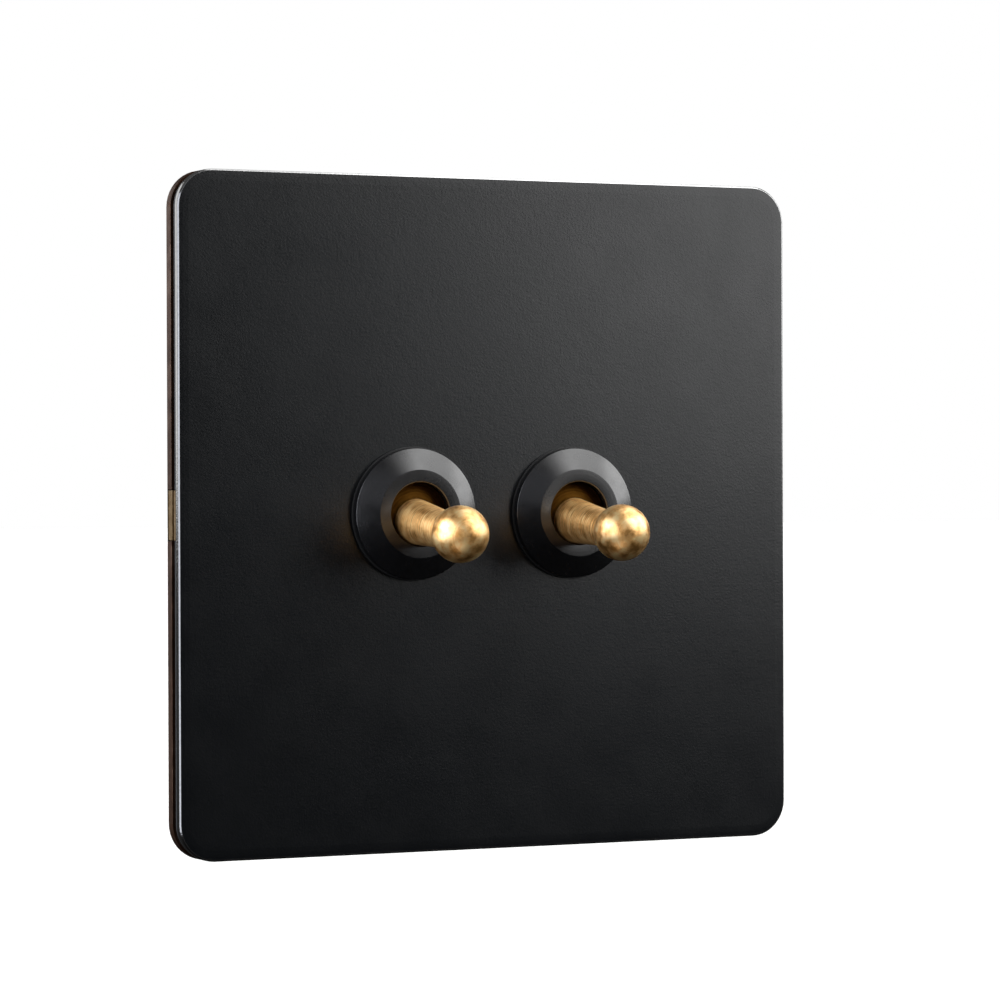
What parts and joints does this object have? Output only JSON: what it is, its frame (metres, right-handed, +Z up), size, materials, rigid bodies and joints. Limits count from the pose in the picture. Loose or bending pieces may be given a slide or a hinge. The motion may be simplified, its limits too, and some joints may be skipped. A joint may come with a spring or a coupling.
{
  "type": "toggle wall switch",
  "caption": "Square wall switch with ball-ended toggle levers in turned collars; each lever rocks a changeover contact in a housing behind the plate.",
  "frame": {"origin": "midway between the two fixing slots, in the wall plane (the base frame's rear face)", "axes": "+X to the right seen from the room, +Y into the wall, +Z up"},
  "size_m": [0.086, 0.0525, 0.086],
  "materials": {
    "black_paint": "matt, very fine grain",
    "black_nylon": "matt",
    "bronze": "satin antique bronze",
    "clip_brass": "satin",
    "steel": "zinc plated",
    "plain_brass": "as stamped",
    "black_satin": "satin paint over turned metal",
    "dark_brass": "blackened brass",
    "satin_brass": "satin, fine lathe marks",
    "white_nylon": "moulded",
    "spring_steel": "bright drawn wire",
    "silver": "bright",
    "moulding": "moulded, fine texture",
    "green_steel": "green lacquer"
  },
  "bodies": {
    "switch_body": {"face_plate": "black_paint", "plate_liner": "black_nylon", "collar_washer_left": "black_nylon", "collar_washer_right": "black_nylon", "base_frame": "bronze", "side_clip_left": "clip_brass", "side_clip_right": "clip_brass", "support_plate": "steel", "frame_screws": "steel", "housing_screws": "steel", "pivot_pin_left": "steel", "pivot_pin_right": "steel", "terminal_screws_left": "steel", "terminal_screws_right": "steel", "common_saddle_left": "plain_brass", "common_saddle_right": "plain_brass", "upper_contact_left": "plain_brass", "upper_contact_right": "plain_brass", "lower_contact_left": "plain_brass", "lower_contact_right": "plain_brass", "upper_terminal_left": "plain_brass", "upper_terminal_right": "plain_brass", "lower_terminal_left": "plain_brass", "lower_terminal_right": "plain_brass", "common_terminal_left": "plain_brass", "common_terminal_right": "plain_brass", "earth_terminal": "plain_brass", "collar_left": "black_satin", "collar_right": "black_satin", "bushing_left": "dark_brass", "bushing_right": "dark_brass", "fixed_tips_left": "silver", "fixed_tips_right": "silver", "housing_lid": "moulding", "housing": "moulding", "earth_screw": "green_steel"},
    "lever_left": {"lever_left": "satin_brass", "lever_carrier_left": "white_nylon", "plunger_spring_left": "spring_steel"},
    "plunger_left": {"plunger_left": "plain_brass"},
    "rocker_left": {"rocker_left": "plain_brass", "moving_tips_left": "silver"},
    "lever_right": {"lever_right": "satin_brass", "lever_carrier_right": "white_nylon", "plunger_spring_right": "spring_steel"},
    "plunger_right": {"plunger_right": "plain_brass"},
    "rocker_right": {"rocker_right": "plain_brass", "moving_tips_right": "silver"}
  },
  "joints": [
    {"name": "lever_left_tilt", "type": "hinge", "parent": "switch_body", "child": "lever_left", "pos_m": [-0.01125, 0.0038, 0], "axis": [1, 0, 0], "range_deg": [-12.5, 0]},
    {"name": "rocker_left_tilt", "type": "hinge", "parent": "switch_body", "child": "rocker_left", "pos_m": [-0.01125, 0.0198, 0], "axis": [1, 0, 0], "range_deg": [0, 20]},
    {"name": "plunger_left_slide", "type": "slide", "parent": "lever_left", "child": "plunger_left", "axis": [0, -0.9941, -0.1089], "range_m": [0, 0.0008], "stiffness_N_per_m": 400, "springref_m": -0.0005, "deforming": ["plunger_spring_left"]},
    {"name": "lever_right_tilt", "type": "hinge", "parent": "switch_body", "child": "lever_right", "pos_m": [0.01125, 0.0038, 0], "axis": [1, 0, 0], "range_deg": [-12.5, 0]},
    {"name": "rocker_right_tilt", "type": "hinge", "parent": "switch_body", "child": "rocker_right", "pos_m": [0.01125, 0.0198, 0], "axis": [1, 0, 0], "range_deg": [0, 20]},
    {"name": "plunger_right_slide", "type": "slide", "parent": "lever_right", "child": "plunger_right", "axis": [0, -0.9941, -0.1089], "range_m": [0, 0.0008], "stiffness_N_per_m": 400, "springref_m": -0.0005, "deforming": ["plunger_spring_right"]}
  ],
  "couplings": [
    {"joint": "rocker_left_tilt", "follows": "lever_left_tilt", "ratio": -1.6},
    {"joint": "rocker_right_tilt", "follows": "lever_right_tilt", "ratio": -1.6}
  ]
}
